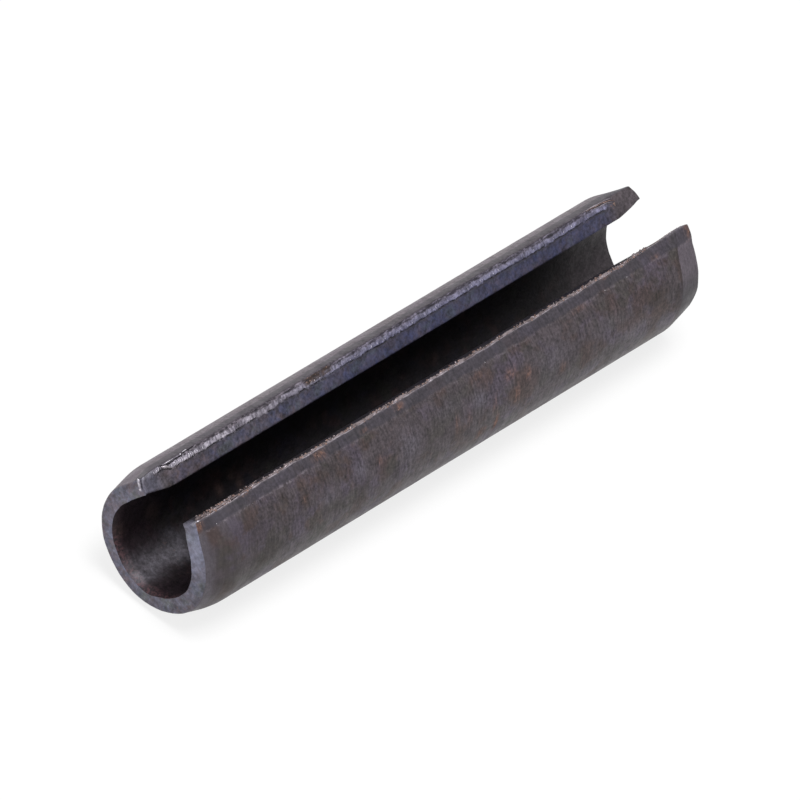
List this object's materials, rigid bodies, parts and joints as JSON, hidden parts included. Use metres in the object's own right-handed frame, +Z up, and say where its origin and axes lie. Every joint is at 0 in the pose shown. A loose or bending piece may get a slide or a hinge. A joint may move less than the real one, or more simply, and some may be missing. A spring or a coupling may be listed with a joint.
{
  "type": "spring roll pin",
  "caption": "Slotted spring pin rolled from steel strip, with an open slot along it and narrowed lead-in ends, pressed into a drilled hole to lock or locate parts.",
  "frame": {"origin": "on the surface the pin lies on, under the middle of the pin", "axes": "+X along the pin, +Z up through the middle of the slot, +Y across the pin"},
  "size_m": [0.0406, 0.0084, 0.0079],
  "materials": {
    "spring_steel": "hardened and blackened, matt, with rust specks"
  },
  "bodies": {
    "root": {"spring_pin": "spring_steel"}
  },
  "joints": []
}
